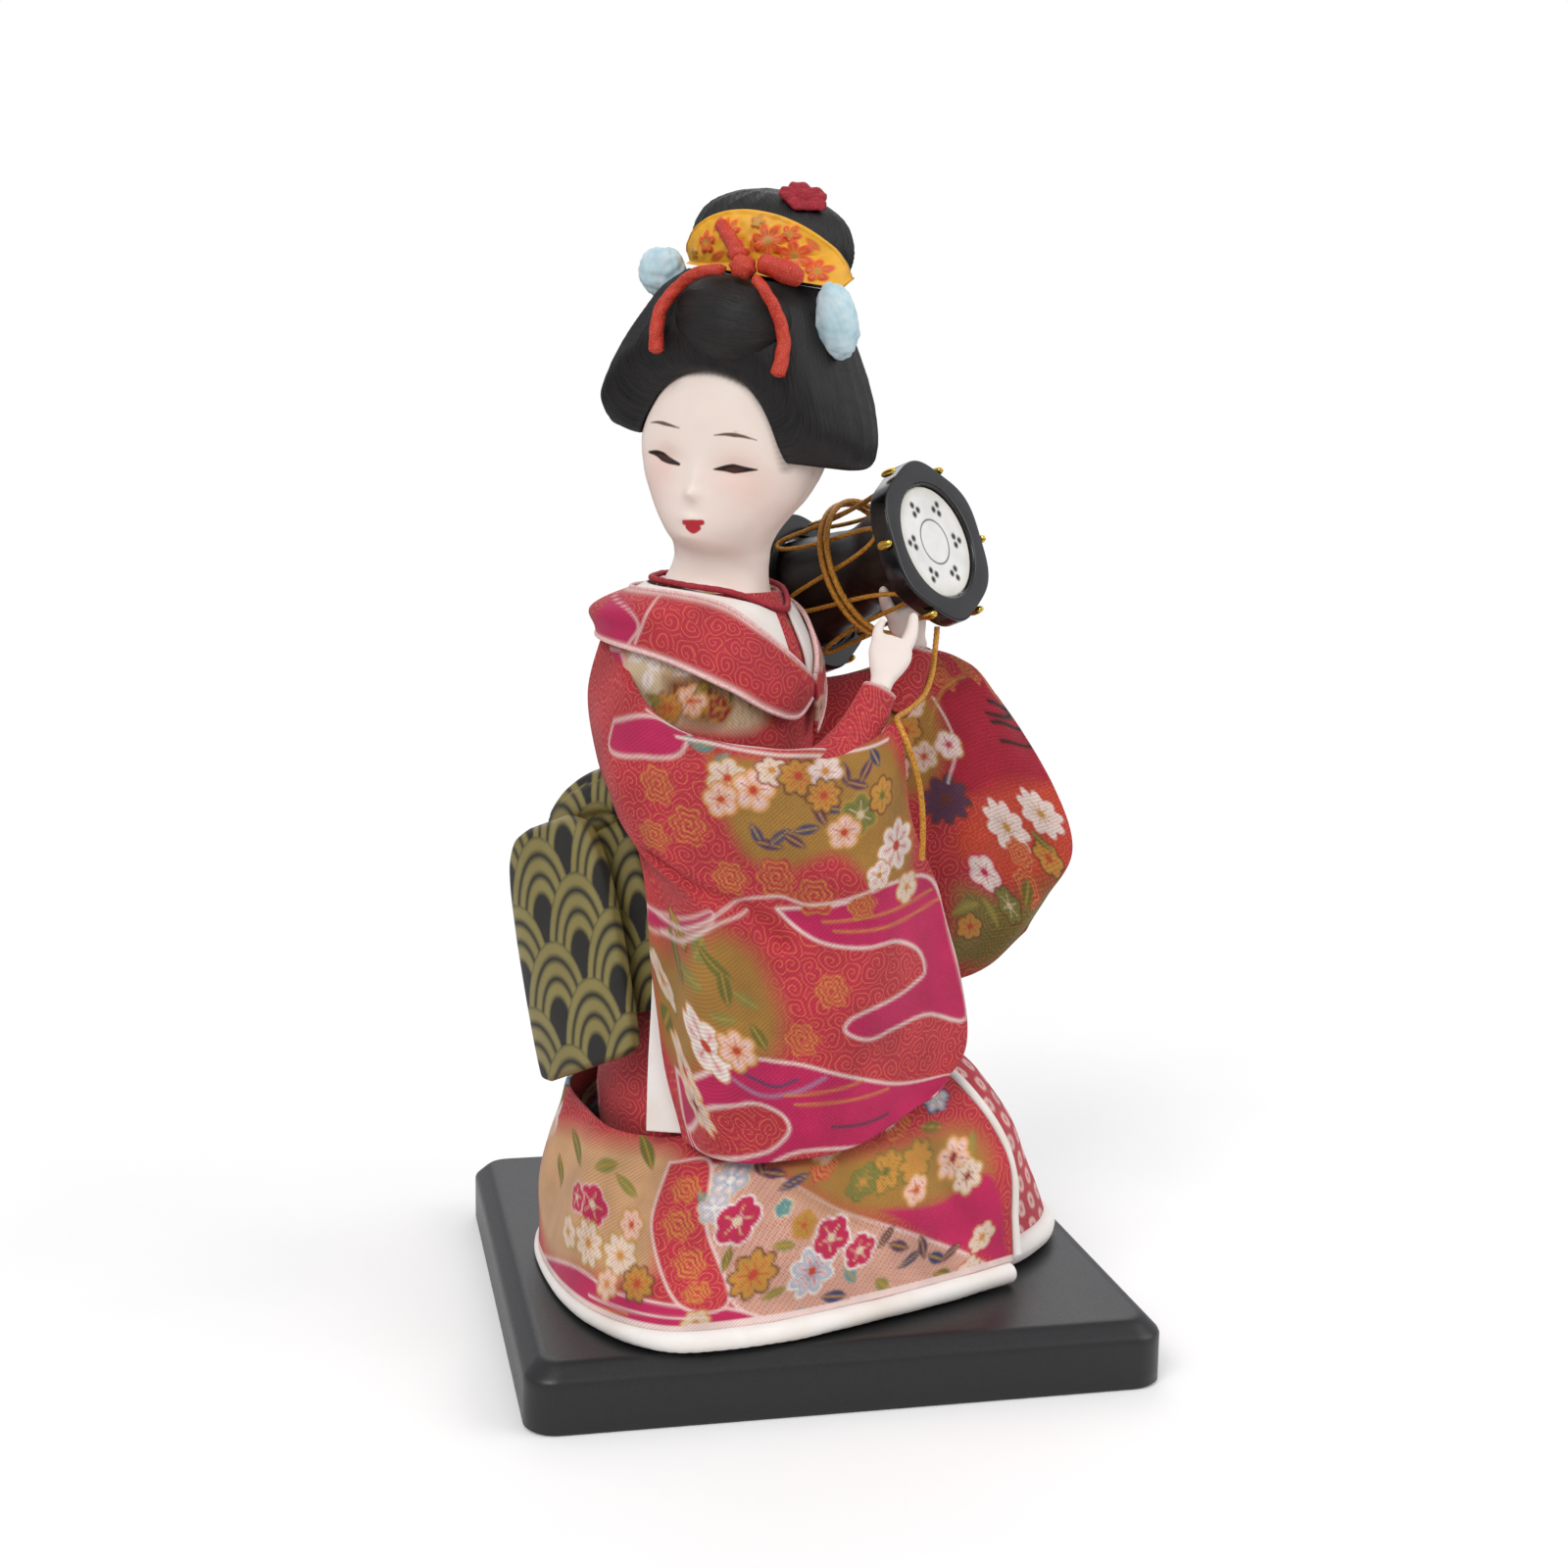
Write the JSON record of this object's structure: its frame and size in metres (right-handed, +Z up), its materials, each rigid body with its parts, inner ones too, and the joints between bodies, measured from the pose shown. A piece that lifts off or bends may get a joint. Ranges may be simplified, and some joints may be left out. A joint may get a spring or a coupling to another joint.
{
  "type": "display doll",
  "caption": "Kneeling display doll in layered brocade robes, with a small hourglass drum on its shoulder, dressed hair and a head that turns, on a flat square plinth.",
  "frame": {"origin": "centre of the plinth's underside", "axes": "+Z up through the doll, +X towards the side that the doll kneels to, -Y towards the plinth's front edge; the doll is turned a little from +X towards -Y"},
  "size_m": [0.12, 0.12, 0.2224],
  "materials": {
    "black_lacquer": "satin black, moulded",
    "screw_steel": "plain",
    "stuffing": "rough straw wound with paper",
    "dowel_wood": "bare",
    "face_shell": "smooth, softly shaded",
    "hair_floss": "dressed floss, low sheen",
    "gilt_card": "matt gilt with a raised pattern",
    "red_cord": "twisted silk with glitter",
    "pale_blue": "soft tuft",
    "rose_red": "matt cloth",
    "brocade": "woven brocade with gold thread",
    "white_silk": "soft silk",
    "black_brocade": "woven with a gold wave pattern",
    "gold_cord": "twisted cord",
    "gilt_metal": "polished",
    "drum_skin": "matt hide with painted dots"
  },
  "bodies": {
    "doll": {"plinth": "black_lacquer", "base_screw_1": "screw_steel", "base_screw_2": "screw_steel", "torso_core": "stuffing", "leg_core": "stuffing", "bodice": "brocade", "white_collar_right": "white_silk", "white_collar_left": "white_silk", "kimono_collar_right": "brocade", "kimono_collar_left": "brocade", "inner_collar": "rose_red", "belt_band": "black_brocade", "skirt": "brocade", "skirt_hem_roll": "white_silk", "front_edge_piping": "white_silk", "under_skirt": "brocade", "under_skirt_hem_roll": "white_silk", "right_sleeve": "brocade", "left_sleeve": "brocade", "right_arm": "stuffing", "left_arm": "stuffing", "sleeve_lining_strip": "white_silk", "right_hand": "face_shell", "left_hand": "face_shell", "obi_pad": "black_brocade", "obi_inner_fold": "black_brocade", "obi_knot": "black_brocade", "drum_front_hoop": "black_lacquer", "drum_back_hoop": "black_lacquer", "drum_front_skin": "drum_skin", "drum_back_skin": "drum_skin", "drum_bowl": "black_lacquer", "drum_lacing": "gold_cord", "drum_waist_cord": "gold_cord", "hanging_cord": "gold_cord", "front_clip_1": "gilt_metal", "front_clip_2": "gilt_metal", "front_clip_3": "gilt_metal", "front_clip_4": "gilt_metal", "front_clip_5": "gilt_metal", "front_clip_6": "gilt_metal", "back_clip_1": "gilt_metal", "back_clip_2": "gilt_metal", "back_clip_3": "gilt_metal", "back_clip_4": "gilt_metal", "back_clip_5": "gilt_metal", "back_clip_6": "gilt_metal"},
    "head": {"head_shell": "face_shell", "neck_peg": "dowel_wood", "hair_wings": "hair_floss", "hair_front_roll": "hair_floss", "hair_top_knot": "hair_floss", "gilt_crown": "gilt_card", "tie_bow": "red_cord", "tie_tail_left": "red_cord", "tie_tail_right": "red_cord", "blue_ornament_left": "pale_blue", "blue_ornament_right": "pale_blue", "red_flower": "rose_red"}
  },
  "joints": [
    {"name": "head_turn", "type": "hinge", "parent": "doll", "child": "head", "pos_m": [-0.01667, -0.00505, 0.1462], "axis": [0.1201, -0.1002, 0.9877], "range_deg": [-30, 30]}
  ]
}
